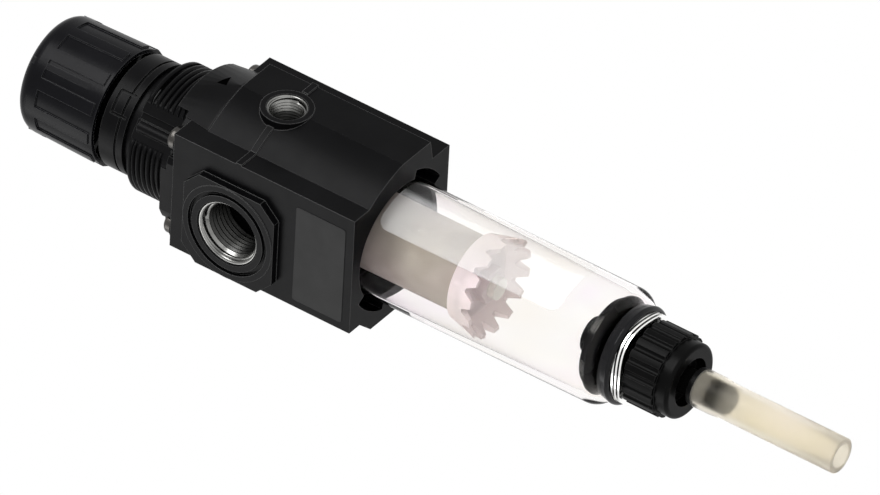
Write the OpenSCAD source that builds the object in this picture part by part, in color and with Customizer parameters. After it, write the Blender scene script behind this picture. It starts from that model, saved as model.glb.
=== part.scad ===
// Compressed-air filter-regulator with a push-lock knob, a clear bowl and a quarter-turn drain.
// Millimetres. +Z points to the knob, -Y is the front (gauge side), and the pipe run lies along X.
// The origin lies on the axis of the knob and the bowl, level with the pipe run.

/* [Body] */
// Width across the two flange faces that carry the ports
body_w = 40; // [39:0.5:46]
// Height of the casting above the port axis
body_top = 19; // [18:0.5:24]
// Depth of the casting below the port axis
body_drop = 37; // [36:0.5:42]
// Distance from the axis to the front shoulders
shoulder_y = 18; // [17.5:0.5:21]
// Distance from the axis to the flat front pad
front_y = 24; // [23.5:0.5:28]
// Distance from the axis to the rear flange
rear_y = 17.6; // [17.5:0.1:20]
// Distance from the axis to the rear pad
rear_pad_y = 22; // [21.5:0.5:25]
// Height above the port axis at which the front hump and the pads end
hump_top = 13; // [12:0.5:16]
// Radius of the bulge to the left of the front pad
hump_r = 36; // [24:1:60]

/* [Ports] */
// Distance of the pipe run behind the axis of the bowl
port_y = 3; // [2:0.5:3.5]
// Radius of the main port wall, at the major radius of a G3/8 thread
port_r = 8.33; // [7.5:0.01:9]
// Depth of each main port from its boss face
port_depth = 11.5; // [9.5:0.5:11.5]
// Side of the square boss round each main port
boss_w = 28; // [26:0.5:29]
// Height of the port boss above the flange face
boss_h = 2.4; // [1.5:0.1:3.5]
// Mean radius of the seal groove in the boss face
face_groove_r = 11.6; // [11:0.1:12]
// Radius of the gauge port wall, at the major radius of a G1/8 thread
gauge_r = 4.86; // [4.3:0.01:5.2]
// Distance of the gauge ports below the pipe run
gauge_drop = 1; // [0:0.1:1.2]
// Depth of each gauge port
gauge_depth = 8; // [6:0.5:8.5]

/* [Bonnet] */
// Radius of the panel neck at the root of its thread
neck_r = 16.9; // [16.5:0.1:18]
// Height of the top of the threaded neck
neck_top = 35.5; // [33:0.5:38]
// Radius of the bonnet base
base_r = 21.4; // [20.6:0.1:22]
// Thickness of the bonnet flange at the sides
flange_t = 3.7; // [3.5:0.1:5]
// Radius of the spigot above the neck
spigot_r = 14.4; // [14:0.1:15]
// Radius of the spring chamber
chamber_r = 12.2; // [11.8:0.1:12.6]
// Height of the roof of the spring chamber
chamber_top = 43.5; // [43:0.5:46]
// Thickness of the bonnet roof
roof_t = 2.1; // [2:0.1:4]
// Outer radius of the locking collar
collar_r = 15.5; // [15.2:0.1:16]
// Height of the foot of the locking collar above the port axis
collar_z = 38.2; // [37.2:0.1:39]
// Height of the locking collar
collar_h = 7.2; // [6:0.1:7.4]

/* [Knob] */
// Radius over the grip ribs at the rim
knob_r = 16.5; // [16.2:0.1:18]
// Radius over the grip ribs at the top
knob_top_r = 16; // [15.5:0.1:17]
// Height of the knob from rim to crown
knob_h = 24.2; // [22:0.1:28]
// Gap between the rim and the locking collar when the knob is pulled up
lock_gap = 1.9; // [1.6:0.1:2.5]
// Number of grip ribs
rib_count = 12; // [10:1:14]
// Width of a grip rib in degrees
rib_angle = 12; // [8:1:15]
// Height of the grip ribs above the panels between them
rib_h = 0.5; // [0.3:0.1:0.8]
// Rounding of the crown
crown_r = 3.5; // [3:0.5:5]
// Wall thickness of the knob
knob_wall = 1.6; // [1.2:0.1:2]

/* [Adjusting screw] */
// Radius of the screw thread
screw_r = 4; // [3.5:0.1:4.5]
// Radius of the splined head and its journal
spline_r = 6; // [5.5:0.1:7]
// Number of splines
spline_count = 12; // [10:1:16]
// Thickness of the spring button
button_t = 4; // [3:0.5:5]
// Height of the seat of the regulating spring on the button at rest
button_z = 37; // [36:0.5:37.5]
// Mean radius of the regulating spring
spring_r = 9.6; // [9:0.1:10]
// Wire diameter of the regulating spring
spring_wire = 2.2; // [1.8:0.1:2.6]
// Number of turns of the regulating spring
spring_turns = 4; // [3:0.5:5]

/* [Valve] */
// Radius of the valve chamber
valve_bore = 8; // [7.5:0.1:8.5]
// Bore of the valve seat
seat_bore = 4; // [3.5:0.1:4.5]
// Outer radius of the valve seat
seat_r = 6.2; // [5.8:0.1:6.5]
// Radius of the poppet
poppet_r = 5.6; // [5.2:0.1:6]
// Thickness of the diaphragm
diaphragm_t = 1.2; // [0.8:0.1:1.5]
// Outer radius of the diaphragm
diaphragm_r = 16.2; // [15.8:0.1:16.5]
// Travel of the poppet from shut to fully open
valve_travel = 1.4; // [1:0.1:2]

/* [Filter] */
// Outer radius of the filter element
element_r = 10.1; // [9.5:0.1:10.5]
// Bore radius of the filter element
element_bore = 7; // [6.5:0.1:7.5]
// Length of the filter element
element_l = 33; // [28:0.5:36]
// Tip radius of the star baffle
baffle_r = 13.5; // [13:0.1:13.7]
// Number of teeth on the star baffle
baffle_teeth = 14; // [10:1:18]

/* [Bowl] */
// Outer radius of the bowl at its neck
bowl_r = 16.1; // [15.8:0.1:16.3]
// Outer radius of the bowl at its foot
bowl_foot_r = 15.8; // [15.4:0.1:16]
// Wall thickness of the bowl
bowl_wall = 2; // [1.8:0.1:2.2]
// Distance of the bowl foot below the port axis
bowl_bottom = 107; // [100:0.5:112]
// Rounding of the bowl foot
bowl_foot_round = 4; // [2:0.5:5]
// Reach of the bayonet lugs from the axis
lug_r = 19; // [18.5:0.1:19.2]
// Angle that the bowl turns from locked to free, in degrees
bowl_turn = 45; // [40:1:50]

/* [Drain] */
// Radius of the drain flange inside the bowl
drain_flange_r = 13.2; // [12.5:0.1:13.4]
// Radius of the drain shank through the bowl foot
shank_r = 5.9; // [5.5:0.1:6.3]
// Outer radius of the collar under the bowl
washer_r = 13.4; // [12.5:0.1:14]
// Radius over the flutes of the drain nut
nut_r = 11.3; // [10.8:0.1:12]
// Length of the fluted part of the drain nut
nut_l = 9; // [8:0.5:12]
// Number of flutes on the drain nut
flute_count = 20; // [16:1:24]
// Radius of the drain stem
stem_r = 3.6; // [3.4:0.1:3.8]
// Outer radius of the drain tube
tube_r = 4.76; // [4.6:0.01:5]
// Free length of the drain tube
tube_l = 42.5; // [30:0.5:60]
// Lift of the drain stem for a quarter turn of the nut
drain_lift = 1.5; // [1:0.1:2]

/* [Hidden] */
$fn = 64;

eps = 0.01;          // overshoot of a cutting tool
run = 0.05;          // radial clearance of a running fit
seat_gap = 0.1;      // clearance between faces that move apart
chamfer = 1;         // lead-in chamfer of the ports

// Body
half_w = body_w / 2;
port_face = half_w + boss_h;
hump_start = 13.8;                              // distance of the bulge's left end from the axis
chord = [hump_start, shoulder_y - front_y];     // from the bulge's left end to the pad
hump_c = [-hump_start / 2, -(shoulder_y + front_y) / 2]
    + [-chord[1], chord[0]] / norm(chord) * sqrt(pow(hump_r, 2) - pow(norm(chord) / 2, 2));
pad_w = 11.6;                                   // width of the flat front pad
pad_slope = 1.2;                                // sideways run of the pad's outer wall
rear_pad_w = 21.4;                              // width of the rear pad across its face
rear_slope = 4.9;                               // sideways run of the rear pad's walls
boss_cut = 4.5;                                 // corner chamfer of the port boss
land_r = 13.8;                                  // round land on the port boss
land_h = 0.3;
face_groove_w = 1.2;
face_groove_d = 1.1;
gauge_boss_r = 6.9;
gauge_boss_h = 0.3;
rib_w = 1.8;                                    // band between the port boss and the gauge boss
rib_rise = 0.4;
passage_r = 2.1;                                // inlet passages down to the bowl
passage_x = 11.6;
outlet_r = 1.9;                                 // outlet passages from the valve chamber
outlet_z = 4;
gauge_hole_r = 0.9;
gauge_hole_z = 2.95;
web_z = 2;                                      // top of the web that holds the valve seat
web_t = 3.5;
upper_bore = 8.6;
under_r = 12.8;                                 // chamber under the diaphragm
under_z = 9.5;
ledge_z = body_top - 2.5;                       // ledge that carries the diaphragm
screw_x = half_w - 3.8;
screw_y = 13.4;
SCREWS = [for (x = [-screw_x, screw_x], y = [-screw_y, screw_y]) [x, y]];
screw_shank_r = 1.6;
screw_head_r = 3;
screw_head_h = 2.5;
screw_depth = 9;

// Bowl joint
socket_r = bowl_r + 0.8;
socket_top = -body_drop + 14.2;                 // ceiling over the bowl rim
bowl_top = socket_top - 0.5;
lug_z = -body_drop + 5.5;
lug_t = 3;
lug_span = 30;
groove_play = 0.4;
entry_angle = -52;                              // direction of the front entry slot
entry_span = 40;
lug_angle = entry_angle - bowl_turn;
bowl_bore = bowl_r - bowl_wall;
seal_z = bowl_top - 2.2;                        // mid-height of the bowl seal
seal_wire = 0.95;

// Bonnet
flange_top = body_top + flange_t;
base_top = body_top + 5.8;                      // top of the wide base, front and rear
base_slope = 2.6;
foot_top = body_top + 0.6;                       // seat of the screw heads
side_notch = 9.4;                               // step in the left edge of the flange
step_w = 2;
step_d = 1.6;
side_w = 12;                                    // half width of the low sides of the base
key_angle = -142;                               // direction of the panel flats on the neck
key_flat = neck_r - 0.9;
key_w = 16;
key_bead_r = 1.6;
latch_angle = key_angle + 6.6;                   // middle of the latch window
bonnet_top = chamber_top + roof_t;
slot_w = 4.3;
slot_r = chamber_r + 1.1;

// Knob
knob_z = collar_z + collar_h + lock_gap;
knob_top = knob_z + knob_h;
band_h = 1;                                     // smooth band at the knob rim
panel_top = knob_top - 6.2;
knob_bore = spigot_r + 0.5;
knob_phase = -2.6;
hub_r = spline_r + 2.2;
hub_z = bonnet_top + lock_gap + 0.4;

// Screw
flange_r = 9;
thrust_t = 0.7;
screw_flange_t = 1.4;
screw_bottom = button_z - 8;
spline_top = knob_top - 5;
spline_depth = 0.9;
spline_play = 0.12;

// Valve
seat_lip = 0.6;
seat_bottom = web_z - web_t - seat_lip;
poppet_top = seat_bottom - seat_gap;
poppet_t = 3.4;
guide_r = 2.4;
cage_top = -16;
cage_t = 6.8;
cage_r = valve_bore - 0.1;
stud_r = 3;
element_top = socket_top - 6.2;
element_bottom = element_top - element_l;
baffle_t = 1.6;
baffle_h = 6.5;
nut_t = 3;
stud_bottom = element_bottom - baffle_t - nut_t;
plate_z = ledge_z + diaphragm_t;
plate_t = 1.5;
clamp_r = 9.4;
pin_r = 1.2;
pin_top = ledge_z - 3;

// Drain
bowl_floor = -bowl_bottom + bowl_wall;
drain_flange_t = 3.8;
drain_top = bowl_floor + drain_flange_t + 1.6;
collar_t = 3.5;
collar_bottom = -bowl_bottom - collar_t;
spring_gap = 3;
nut_top = collar_bottom - spring_gap;
nut_bottom = nut_top - nut_l - 4;
nut_end_r = 10.2;
nut_recess_r = 6.6;
nut_recess_d = 3;
shank_bottom = nut_top - 6;
stem_head_r = 4.8;
stem_head_t = 2.4;
stem_top = drain_top + 1 + stem_head_t;
tube_top = nut_bottom - drain_lift - 1.7;
barb_l = 10;
barb_bottom = tube_top - barb_l;
tube_bore = 3.2;
tube_bulge = 0.35;

// Points along an arc round c, from angle a0 to a1
function arc(c, r, a0, a1, n = 6) =
    [for (i = [0 : n]) c + r * [cos(a0 + (a1 - a0) * i / n), sin(a0 + (a1 - a0) * i / n)]];

// A plain ring from z0 up to z1
module ring(ro, ri, z0, z1) {
    translate([0, 0, z0]) difference() {
        cylinder(r = ro, h = z1 - z0);
        translate([0, 0, -eps]) cylinder(r = ri, h = z1 - z0 + 2 * eps);
    }
}

// A cutting cylinder from z0 up to z1
module drill(r, z0, z1) {
    translate([0, 0, z0]) cylinder(r = r, h = z1 - z0);
}

// An O-ring of mean radius r and wire radius w at height z
module o_ring(r, w, z) {
    translate([0, 0, z]) rotate_extrude() translate([r, 0]) circle(r = w, $fn = 32);
}

// A block that spans [x0, x1], [y0, y1] and [z0, z1]
module block(x0, x1, y0, y1, z0, z1) {
    translate([x0, y0, z0]) cube([x1 - x0, y1 - y0, z1 - z0]);
}

// A helical compression spring from z0 up to z1
module coil(r, wire, z0, z1, turns, sides = 8, steps = 20) {
    w = wire / 2;
    n = round(turns * steps);
    pts = [for (i = [0 : n], j = [0 : sides - 1])
        let (a = 360 * i / steps, b = 360 * (j + 0.5) / sides, q = r + w * cos(b))
        [q * cos(a), q * sin(a), z0 + w + (z1 - z0 - wire) * i / n + w * sin(b)]];
    walls = [for (i = [0 : n - 1], j = [0 : sides - 1])
        let (k = (j + 1) % sides)
        [i * sides + j, i * sides + k, (i + 1) * sides + k, (i + 1) * sides + j]];
    caps = [[for (j = [sides - 1 : -1 : 0]) j], [for (j = [0 : sides - 1]) n * sides + j]];
    polyhedron(points = pts, faces = concat(walls, caps), convexity = 10);
}

// A wedge-shaped cutter centred on angle a, span degrees wide, from radius ri to ro
module sector(a, span, ri, ro, z0, z1) {
    rotate([0, 0, a - span / 2]) rotate_extrude(angle = span)
        translate([ri, z0]) square([ro - ri, z1 - z0]);
}

// ---------- Body casting ----------

// Outline of the bulge and the flat pad at the front, pulled back by inset
module front_outline(inset = 0, proud = 0) {
    intersection() {
        translate(hump_c) circle(r = hump_r + proud, $fn = 180);
        translate([-hump_start, -front_y - 2])
            square([hump_start, front_y + 2 - shoulder_y + eps]);
    }
    polygon([[-eps, inset - front_y - proud], [pad_w + proud - inset, inset - front_y - proud],
             [pad_w + pad_slope + proud - inset, eps - shoulder_y], [-eps, eps - shoulder_y]]);
}

// Front bulge and the two pads, all ending below the top of the casting
module pads() {
    translate([0, 0, -body_drop]) linear_extrude(hump_top + body_drop) {
        front_outline();
        polygon([[-rear_pad_w / 2, rear_pad_y], [rear_pad_w / 2, rear_pad_y],
                 [rear_pad_w / 2 + rear_slope, rear_y - eps],
                 [-rear_pad_w / 2 - rear_slope, rear_y - eps]]);
    }
    // Band, stopped short of the gauge boss
    difference() {
        translate([0, 0, -gauge_drop - rib_w / 2]) linear_extrude(rib_w)
            front_outline(proud = rib_rise);
        translate([0, 0, -gauge_drop]) rotate([90, 0, 0])
            drill(gauge_boss_r + 0.5, front_y - 0.5, front_y + 2);
    }
}

// Square port boss with cut corners and a round land, on the side that s points to
module port_boss(s) {
    h = boss_w / 2;
    c = boss_cut;
    translate([0, port_y, 0]) rotate([0, s * 90, 0]) {
        translate([0, 0, half_w - 1]) linear_extrude(boss_h - land_h + 1)
            polygon([[h - c, h], [c - h, h], [-h, h - c], [-h, c - h], [c - h, -h], [h - c, -h],
                     [h, c - h], [h, h - c]]);
        drill(land_r, half_w, port_face);
    }
}

// Main port: wall, lead-in chamfer and the seal groove in the boss face
module port_cut(s) {
    translate([0, port_y, 0]) rotate([0, s * 90, 0]) {
        drill(port_r, port_face - port_depth, port_face + eps);
        translate([0, 0, port_face - chamfer])
            cylinder(r1 = port_r, r2 = port_r + chamfer + eps, h = chamfer + eps);
        ring(face_groove_r + face_groove_w / 2, face_groove_r - face_groove_w / 2,
             port_face - face_groove_d, port_face + 1);
    }
}

// Gauge port whose face stands at distance face, on the side that s points to
module gauge_cut(s, face) {
    translate([0, 0, -gauge_drop]) rotate([s * 90, 0, 0]) {
        drill(gauge_r, face - gauge_depth, face + eps);
        translate([0, 0, face - chamfer / 2])
            cylinder(r1 = gauge_r, r2 = gauge_r + chamfer / 2 + eps, h = chamfer / 2 + eps);
        translate([0, s * (gauge_hole_z + gauge_drop), 0])
            drill(gauge_hole_r, upper_bore - 1, face - gauge_depth + eps);
    }
}

// Bowl socket: bore, bayonet groove and the two entry slots
module socket_cut() {
    drill(socket_r, -body_drop - eps, socket_top);
    for (k = [0, 180]) {
        sector(entry_angle + k, entry_span, socket_r - 2, lug_r + groove_play + 0.1,
               -body_drop - eps, lug_z + lug_t + groove_play + 0.1);
        sector(entry_angle + k - bowl_turn / 2 - 2, entry_span + bowl_turn - 4, socket_r - 2.1,
               lug_r + groove_play, lug_z - groove_play, lug_z + lug_t + groove_play);
    }
}

module body_casting() color([0.06, 0.06, 0.065]) difference() {
    union() {
        block(-half_w, half_w, -shoulder_y, rear_y, -body_drop, body_top);
        pads();
        for (s = [-1, 1]) port_boss(s);
        translate([0, 0, -gauge_drop]) rotate([90, 0, 0])
            drill(gauge_boss_r, shoulder_y - 2, front_y + gauge_boss_h);
        block(-half_w, 1 - hump_start, -shoulder_y - rib_rise, 1 - shoulder_y,
              -gauge_drop - rib_w / 2, rib_w / 2 - gauge_drop);
    }
    for (s = [-1, 1]) port_cut(s);
    gauge_cut(1, front_y + gauge_boss_h);
    gauge_cut(-1, rear_pad_y);
    socket_cut();
    // Chambers on the main axis, from the bowl socket up to the diaphragm
    drill(valve_bore, socket_top - eps, web_z - web_t);
    drill(seat_r, web_z - web_t - eps, web_z + eps);
    drill(upper_bore, web_z, under_z + eps);
    drill(under_r, under_z, ledge_z + eps);
    drill(diaphragm_r + 0.2, ledge_z, body_top + eps);
    // Inlet passages down to the bowl, and outlet passages from the valve chamber
    for (y = [-4.6, 0, 4.6]) translate([-passage_x, port_y + y, 0])
        drill(passage_r, socket_top - eps, -2);
    for (y = [-4.4, 0, 4.4]) translate([0, port_y + y, outlet_z]) rotate([0, 90, 0])
        drill(outlet_r, 2, port_face - port_depth + 1);
    for (p = SCREWS) translate(p)
        drill(screw_shank_r + run, body_top - screw_depth - 1, body_top + eps);
}

// ---------- Bonnet ----------

// Outer skin of the bonnet base, wide at the front and rear and low at the sides
module bonnet_base() {
    intersection() {
        union() {
            drill(base_r, body_top, base_top);
            translate([0, 0, base_top])
                cylinder(r1 = base_r, r2 = neck_r - 0.5, h = base_slope);
        }
        block(-half_w, half_w, -base_r - 1, rear_y, body_top, base_top + base_slope);
    }
    // Feet under the screw heads
    for (p = SCREWS) {
        translate(p) drill(screw_head_r + 0.5, body_top, foot_top);
        rotate([0, 0, atan2(p[1], p[0])])
            block(14, norm(p), -screw_head_r, screw_head_r, body_top, foot_top);
    }
}

// Fairing that carries the bulge up on to the round base, the same on both sides of the front
module bonnet_fairing() {
    intersection() {
        hull() {
            translate([0, 0, hump_top + seat_gap]) linear_extrude(0.5) for (m = [0, 1])
                mirror([m, 0]) intersection() {
                    translate(hump_c) circle(r = hump_r, $fn = 180);
                    translate([-hump_start, -front_y - 2])
                        square([hump_start, front_y + 2 - shoulder_y + eps]);
                }
            translate([0, 0, base_top - 0.8]) cylinder(r = base_r + 0.3, h = 0.5, $fn = 64);
        }
        block(-half_w, half_w, -front_y - 1, -shoulder_y - run, hump_top, base_top);
    }
}

// Panel flat at angle a, with a keyway beside its middle
module panel_flat(a) {
    rotate([0, 0, a]) block(key_flat, base_r + 2, -key_w / 2, key_w / 2,
                            body_top + 2, neck_top + eps);
    rotate([0, 0, a]) block(key_flat - 0.8, base_r + 2, 0.4, 2.2, body_top + 3, neck_top + 1);
}

module bonnet() color([0.055, 0.055, 0.06]) difference() {
    union() {
        difference() {
            union() {
                bonnet_base();
                bonnet_fairing();
            }
            // Low sides, down to the flange
            for (s = [-1, 1])
                block(min(s * 8, s * 24), max(s * 8, s * 24), -side_w, side_w,
                      flange_top, base_top + base_slope + 1);
            // Small step in the left edge of the flange, beside the front screw
            block(-half_w - 1, step_d - half_w, -side_notch - step_w, -side_notch,
                  body_top + 0.5, flange_top + 1);
            for (a = [key_angle, key_angle + 180]) panel_flat(a);
            for (p = SCREWS) translate(p) drill(screw_head_r + 0.4, foot_top, neck_top);
        }
        difference() {
            union() {
                drill(neck_r, body_top, neck_top - 0.5);
                drill(neck_r + 0.3, body_top, base_top + base_slope - 0.2);
                translate([0, 0, neck_top - 0.5]) cylinder(r1 = neck_r, r2 = neck_r - 0.5, h = 0.5);
            }
            for (a = [key_angle, key_angle + 180]) panel_flat(a);
        }
        for (a = [key_angle, key_angle + 180]) rotate([0, 0, a])
            translate([key_flat - 0.6, -1.4, 0]) drill(key_bead_r, foot_top, neck_top - 0.9);
        drill(spigot_r, body_top, bonnet_top);
        ring(diaphragm_r, under_r + 0.6, plate_z, body_top + 1);
    }
    drill(chamber_r, plate_z - 1, chamber_top);
    drill(spline_r + run, chamber_top - eps, bonnet_top + eps);
    // Keyways for the spring button
    block(-slot_r, slot_r, -slot_w / 2, slot_w / 2, plate_z + 3, chamber_top - 1);
    for (p = SCREWS) translate(p) drill(screw_shank_r + 0.2, body_top - 1, foot_top + eps);
}

// Pan-head screws with hexagon sockets, one at each corner
module bonnet_screws() color([0.62, 0.62, 0.6]) for (p = SCREWS) translate(p) difference() {
    union() {
        drill(screw_shank_r, body_top - screw_depth, foot_top + 0.5);
        translate([0, 0, foot_top]) rotate_extrude()
            polygon(concat([[0, 0], [screw_head_r, 0]],
                           arc([screw_head_r - 1, screw_head_h - 1], 1, 0, 90), [[0, screw_head_h]]));
    }
    translate([0, 0, foot_top + screw_head_h - 1.4]) cylinder(r = 1.3, h = 2, $fn = 6);
}

// Clip-on ring below the knob, with a latch window on the front left
module locking_collar() color([0.05, 0.05, 0.055]) difference() {
    ring(collar_r, spigot_r + run, collar_z, collar_z + collar_h);
    ring(collar_r + 1, collar_r - 0.6, collar_z + 1.9, collar_z + 2.6);
    for (s = [-1, 1]) sector(latch_angle + s * 11.5, 2.6, spigot_r + 0.4, collar_r + 1,
                             collar_z + 0.9, collar_z + collar_h - 1.6);
    sector(latch_angle, 24, spigot_r + 0.6, collar_r + 1,
           collar_z + collar_h - 2.3, collar_z + collar_h - 1.4);
}

// Socket-head plug in the rear gauge port, with its seal
module rear_gauge_plug() color([0.72, 0.66, 0.45])
translate([0, 0, -gauge_drop]) rotate([-90, 0, 0]) difference() {
    union() {
        drill(gauge_r - run, rear_pad_y - gauge_depth + 1, rear_pad_y + 0.9);
        drill(gauge_r + 2, rear_pad_y + 0.9, rear_pad_y + 2.9);
    }
    translate([0, 0, rear_pad_y - 2]) cylinder(r = 2.9, h = 6, $fn = 6);
}

module rear_plug_seal() color([0.03, 0.03, 0.03])
translate([0, 0, -gauge_drop]) rotate([-90, 0, 0])
    ring(gauge_r + 1.6, gauge_r + 0.1, rear_pad_y, rear_pad_y + 0.9);

// ---------- Diaphragm and valve ----------

module valve_seat() color([0.78, 0.66, 0.35]) rotate_extrude() polygon([
    [seat_bore, seat_bottom], [seat_bore + 0.6, seat_bottom], [seat_bore + 1.2, web_z - web_t],
    [seat_r, web_z - web_t], [seat_r, web_z], [seat_r + 1.2, web_z], [seat_r + 1.2, web_z + 1],
    [seat_bore, web_z + 1]]);

// Carrier under the valve: a guide for the poppet, a spring seat and the stud for the filter
module valve_cage() color([0.75, 0.74, 0.7]) difference() {
    union() {
        drill(cage_r, cage_top - cage_t, cage_top);
        drill(guide_r + 1.4, cage_top - eps, cage_top + 4.5);
        drill(stud_r, stud_bottom - 2, cage_top - cage_t + eps);
    }
    drill(guide_r + run, cage_top - 4, cage_top + 5);
    for (i = [0 : 5]) rotate([0, 0, 60 * i + 30]) translate([5.6, 0, 0])
        drill(1.5, cage_top - cage_t - 1, cage_top + 1);
    translate([0, 0, cage_top - cage_t / 2]) ring(cage_r + 1, cage_r - 1, -0.7, 0.7);
}

module cage_seal() color([0.03, 0.03, 0.03]) o_ring(cage_r - 0.45, 0.54, cage_top - cage_t / 2);

module diaphragm() color([0.09, 0.08, 0.08]) rotate_extrude() {
    roll = (chamber_r - clamp_r) / 2 - 0.2;
    mid = (chamber_r + clamp_r) / 2;
    translate([clamp_hole(), ledge_z]) square([mid - roll - clamp_hole(), diaphragm_t]);
    translate([mid + roll, ledge_z]) square([diaphragm_r - mid - roll, diaphragm_t]);
    translate([mid, ledge_z]) difference() {
        circle(r = roll + diaphragm_t / 2);
        circle(r = roll - diaphragm_t / 2 + 0.2);
        translate([-9, -18]) square(18);
    }
}
function clamp_hole() = 4.2;

// Upper support plate, with a rim that centres the regulating spring
module diaphragm_plate() color([0.7, 0.7, 0.68]) difference() {
    union() {
        drill(clamp_r, plate_z, plate_z + plate_t);
        drill(spring_r - spring_wire / 2 - 0.3, plate_z, plate_z + plate_t + 1.2);
    }
    drill(2.6, plate_z - 1, plate_z + 4);
}

// Vented clamp below the diaphragm; the valve pin closes its hole
module relief_seat() color([0.78, 0.66, 0.35]) difference() {
    union() {
        drill(clamp_r - 1, ledge_z - 1.6, ledge_z);
        drill(clamp_hole() - run, ledge_z - eps, plate_z);
        drill(2.6 - run, plate_z - eps, plate_z + plate_t + 0.8);
        drill(3.4, pin_top - 0.8, ledge_z - 1.6 + eps);
    }
    drill(pin_r - 0.4, pin_top - 2, plate_z + 6);
    drill(pin_r + run, pin_top - 2, pin_top);
}

module valve_pin() color([0.8, 0.68, 0.36]) drill(pin_r, poppet_top + 0.6, pin_top);

// Rubber-faced poppet with a hollow guide stem
module valve_poppet() color([0.12, 0.11, 0.11]) difference() {
    union() {
        drill(poppet_r, poppet_top - poppet_t, poppet_top);
        drill(guide_r, cage_top - 3.8 + valve_travel + 0.4, poppet_top - poppet_t + eps);
        drill(pin_r + 1, poppet_top - eps, poppet_top + 0.6);
    }
    drill(0.7, cage_top - 4, poppet_top - poppet_t);
}

module valve_spring() color([0.8, 0.8, 0.8])
    coil(guide_r + 2.2, 0.7, cage_top, poppet_top - poppet_t, 4.5, sides = 6, steps = 18);

// ---------- Filter ----------

// Swirl plate: a neck under the casting and slanted slots round a flat rim
module louvre() color([0.9, 0.9, 0.86]) {
    rim = bowl_bore - 0.6;
    difference() {
        union() {
            ring(element_bore + 2.4, element_bore, element_top, socket_top);
            ring(rim, element_bore, element_top, element_top + 1.6);
        }
        for (i = [0 : 17]) rotate([0, 0, 20 * i]) translate([rim - 1.6, 0, element_top + 0.8])
            rotate([45, 0, 0]) cube([3.6, 0.9, 5], center = true);
    }
}

module filter_element() color([0.93, 0.92, 0.88])
    ring(element_r, element_bore, element_bottom, element_top);

// Star baffle: a flat hub under the element and a flared skirt cut into teeth
module star_baffle() color([0.9, 0.88, 0.86]) difference() {
    rotate_extrude() polygon([
        [stud_r + run, element_bottom], [stud_r + run, element_bottom - baffle_t],
        [element_r - 0.6, element_bottom - baffle_t], [baffle_r - 1.2, element_bottom - baffle_h],
        [baffle_r, element_bottom - baffle_h], [element_r + 1.4, element_bottom + 1.6],
        [element_r + run, element_bottom + 1.6], [element_r + run, element_bottom]]);
    // V notches between the teeth
    for (i = [0 : baffle_teeth - 1]) rotate([0, 0, 360 / baffle_teeth * i])
        translate([element_r - 1, 0, element_bottom - baffle_h]) rotate([90, 0, 90])
            linear_extrude(6) polygon([[-2.4, -1], [2.4, -1], [0.5, 2.9], [-0.5, 2.9]]);
}

module baffle_nut() color([0.9, 0.88, 0.86]) difference() {
    translate([0, 0, element_bottom - baffle_t - nut_t]) cylinder(r = 5, h = nut_t, $fn = 6);
    drill(stud_r + run, stud_bottom - 4, element_bottom);
}

// ---------- Adjusting group ----------

// Round 2D outline with count straight-sided splines
module spline_outline(r, count, depth, tooth) {
    circle(r = r - depth);
    for (i = [0 : count - 1]) rotate(360 / count * i)
        translate([0, -tooth / 2]) square([r, tooth]);
}

module adjusting_screw() color([0.72, 0.72, 0.7]) {
    drill(screw_r, screw_bottom, chamber_top - thrust_t - screw_flange_t + eps);
    drill(flange_r, chamber_top - thrust_t - screw_flange_t, chamber_top - thrust_t);
    drill(spline_r, chamber_top - thrust_t - eps, bonnet_top + 0.2);
    translate([0, 0, bonnet_top + 0.2 - eps]) linear_extrude(spline_top - bonnet_top - 0.2)
        spline_outline(spline_r, spline_count, spline_depth, 1.5);
}

module thrust_washer() color([0.85, 0.75, 0.45])
    ring(flange_r + 0.6, spline_r + 2 * run, chamber_top - thrust_t, chamber_top);

// Skirted knob: grip ribs hang from the crown, with sunk panels between them
module knob() color([0.05, 0.05, 0.055]) difference() {
    union() {
        difference() {
            rotate_extrude($fn = 96) polygon(concat(
                [[0, knob_z], [knob_r, knob_z]],
                arc([knob_top_r - crown_r, knob_top - crown_r], crown_r, 0, 90, 8),
                [[0, knob_top]]));
            for (i = [0 : rib_count - 1])
                sector(knob_phase + 360 / rib_count * (i + 0.5), 360 / rib_count - rib_angle,
                       knob_r - 3.4, knob_r + 1, knob_z + band_h - eps, panel_top);
            ring(knob_r + 1, knob_r - rib_h, knob_z - eps, knob_z + band_h);
            drill(knob_bore, knob_z - eps, knob_top - knob_wall - 1);
        }
        // Floor of the sunk panels
        rotate_extrude($fn = 96) polygon([
            [knob_bore, knob_z + band_h - 2 * eps], [knob_r - rib_h, knob_z + band_h - 2 * eps],
            [panel_r(), panel_top + eps], [knob_bore, panel_top + eps]]);
        drill(hub_r, hub_z, knob_top - knob_wall);
        for (i = [0 : 3]) rotate([0, 0, 90 * i + 45])
            block(hub_r - 1, knob_bore + 1, -0.8, 0.8, hub_z + 3, knob_top - knob_wall);
    }
    translate([0, 0, hub_z - eps]) linear_extrude(spline_top + 2.2 - hub_z)
        spline_outline(spline_r + spline_play, spline_count, spline_depth, 1.5 + 2 * spline_play);
}

// Radius of the panel floor at its upper end, on the line of the knob's draft
function panel_r() = knob_r - rib_h
    - (knob_r - knob_top_r) * (panel_top - knob_z) / (knob_h - crown_r);

// Threaded nut that the screw drives down on to the spring; two keys hold it from turning
module spring_button() color([0.78, 0.66, 0.35]) difference() {
    union() {
        drill(chamber_r - 0.3, button_z, button_z + button_t);
        block(-slot_r + 0.3, slot_r - 0.3, -slot_w / 2 + 0.15, slot_w / 2 - 0.15,
              button_z, button_z + button_t);
        drill(spring_r - spring_wire / 2 - 0.3, button_z - 1.5, button_z);
    }
    drill(screw_r + run, button_z - 2, button_z + button_t + 1);
}

module regulating_spring() color([0.35, 0.35, 0.37])
    coil(spring_r, spring_wire, plate_z + plate_t, button_z, spring_turns, sides = 10, steps = 24);

// ---------- Bowl ----------

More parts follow.
